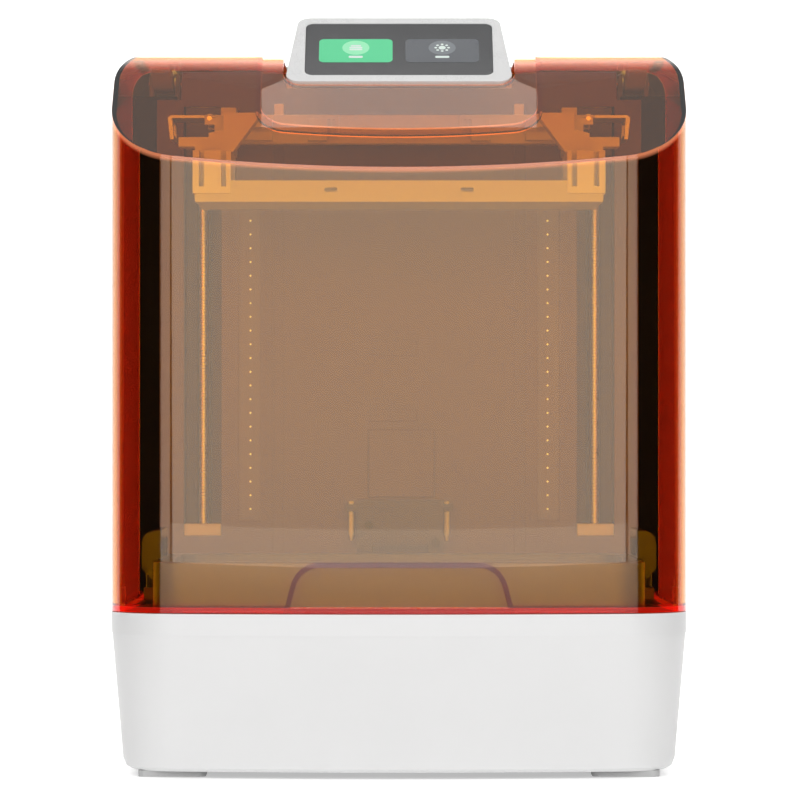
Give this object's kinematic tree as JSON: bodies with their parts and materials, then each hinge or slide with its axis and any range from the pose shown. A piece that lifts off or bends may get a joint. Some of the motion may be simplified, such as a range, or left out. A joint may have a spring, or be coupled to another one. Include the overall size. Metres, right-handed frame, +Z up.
{
  "type": "resin 3d printer",
  "caption": "Desktop masked-resin 3D printer with a tapered base, a flip-up tinted cover, a twin-screw lifting plate, a resin vat and a tilted touch display.",
  "frame": {"origin": "on the floor under the centre of the body's outline", "axes": "+Z up, -Y towards the front with the display and the cover's finger grip, +X to the right of someone who faces the front"},
  "size_m": [0.35, 0.3518, 0.4675],
  "materials": {
    "base_shell": "satin white powder coat",
    "tower_shell": "satin white powder coat",
    "floor_plate": "black zinc",
    "rubber_feet": "moulded grey rubber",
    "deck": "black anodised sheet",
    "mask_screen": "glossy black protected panel",
    "light_hood": "black polycarbonate",
    "lens": "clear acrylic",
    "led_board": "white solder mask on aluminium",
    "heat_sink": "extruded, natural",
    "fan_plastic": "glass-filled black",
    "circuit_board": "solder mask",
    "zinc_steel": "zinc-plated sheet",
    "black_plastic": "fine texture",
    "switch_red": "smooth",
    "port_metal": "plated shell",
    "panel": "dark grey powder coat",
    "bezel": "black coated sheet",
    "seal": "foam rubber",
    "carriage_bracket": "dark grey powder coat",
    "light_strips": "warm light points on a strip",
    "rail_steel": "ground",
    "screw_blocks": "bead blasted",
    "motor": "black laminated stack",
    "coupling": "turned",
    "screw_steel": "rolled thread",
    "feed_bracket": "grey powder coat",
    "probes": "glazed",
    "display_white": "satin white",
    "display_glass": "cover glass over a lit panel",
    "hinge_metal": "cast, satin",
    "cover": "tinted ultraviolet-blocking acrylic, polished",
    "vat": "machined, dark anodised",
    "film": "fluoropolymer release film",
    "film_ring": "ring",
    "knobs": "fluted",
    "gantry_white": "satin white",
    "levers": "bent sheet",
    "nuts": "turned",
    "plate": "milled, blasted face",
    "fasteners": "socket heads"
  },
  "bodies": {
    "chassis": {"base_shell": "base_shell", "tower_shell": "tower_shell", "rear_cover": "tower_shell", "base_floor": "floor_plate", "feet": "rubber_feet", "deck_plate": "deck", "mask_screen": "mask_screen", "light_hood": "light_hood", "collimating_lens": "lens", "uv_led_board": "led_board", "heat_sink": "heat_sink", "fan_frame": "fan_plastic", "mainboard": "circuit_board", "display_board": "circuit_board", "power_supply": "zinc_steel", "power_inlet": "black_plastic", "switch_frame": "black_plastic", "usb_port": "port_metal", "tower_panel": "panel", "service_cover": "panel", "column_bezels": "bezel", "cover_seals": "seal", "light_strips": "light_strips", "rails": "rail_steel", "foot_blocks": "screw_blocks", "head_blocks": "screw_blocks", "motors": "motor", "hinge_pins": "screw_steel", "feed_bracket": "feed_bracket", "level_probes": "probes", "display_housing": "display_white", "display_neck": "display_white", "display_glass": "display_glass", "hinge_brackets": "hinge_metal", "vat_body": "vat", "vat_handles": "vat", "vat_film": "film", "vat_film_ring": "film_ring", "case_screws": "fasteners"},
    "lid": {"lid_shell": "cover", "hinge_arms": "hinge_metal"},
    "platform": {"crossbeam": "gantry_white", "arms": "gantry_white", "carriage_brackets": "carriage_bracket", "carriages": "rail_steel", "nuts": "nuts", "build_plate": "plate", "end_brackets": "gantry_white", "lever_pins": "screw_steel"},
    "left_lever": {"left_release_lever": "levers"},
    "right_lever": {"right_release_lever": "levers"},
    "left_screw": {"left_coupling": "coupling", "left_lead_screw": "screw_steel"},
    "right_screw": {"right_coupling": "coupling", "right_lead_screw": "screw_steel"},
    "rotor": {"fan_rotor": "fan_plastic"},
    "rocker": {"power_switch": "switch_red"},
    "left_knob": {"left_vat_knob": "knobs"},
    "right_knob": {"right_vat_knob": "knobs"}
  },
  "joints": [
    {"name": "lid_hinge", "type": "hinge", "parent": "chassis", "child": "lid", "pos_m": [0, 0.088, 0.432], "axis": [-1, 0, 0], "range_deg": [0, 80]},
    {"name": "z_lift", "type": "slide", "parent": "chassis", "child": "platform", "axis": [0, 0, -1], "range_m": [0, 0.246]},
    {"name": "left_screw_spin", "type": "hinge", "parent": "chassis", "child": "left_screw", "pos_m": [-0.1265, 0.07, 0.28], "axis": [0, 0, 1], "range_deg": [0, 22145]},
    {"name": "right_screw_spin", "type": "hinge", "parent": "chassis", "child": "right_screw", "pos_m": [0.1265, 0.07, 0.28], "axis": [0, 0, 1], "range_deg": [0, 22145]},
    {"name": "left_lever_pivot", "type": "hinge", "parent": "platform", "child": "left_lever", "pos_m": [-0.117, -0.05, 0.40055], "axis": [0, 1, 0], "range_deg": [0, 50]},
    {"name": "right_lever_pivot", "type": "hinge", "parent": "platform", "child": "right_lever", "pos_m": [0.117, -0.05, 0.40055], "axis": [0, -1, 0], "range_deg": [0, 50]},
    {"name": "fan_spin", "type": "hinge", "parent": "chassis", "child": "rotor", "pos_m": [0.048, 0.1605, 0.05], "axis": [0, 1, 0], "continuous": true},
    {"name": "rocker_pivot", "type": "hinge", "parent": "chassis", "child": "rocker", "pos_m": [-0.076, 0.168, 0.05], "axis": [-1, 0, 0], "range_deg": [0, 16]},
    {"name": "left_knob_turn", "type": "hinge", "parent": "chassis", "child": "left_knob", "pos_m": [-0.156, 0.008, 0.115], "axis": [0, 0, 1], "range_deg": [0, 90]},
    {"name": "right_knob_turn", "type": "hinge", "parent": "chassis", "child": "right_knob", "pos_m": [0.156, 0.008, 0.115], "axis": [0, 0, 1], "range_deg": [0, 90]}
  ],
  "couplings": [
    {"joint": "left_screw_spin", "follows": "z_lift", "rad_per_m": 1570.8},
    {"joint": "right_screw_spin", "follows": "z_lift", "rad_per_m": 1570.8}
  ]
}
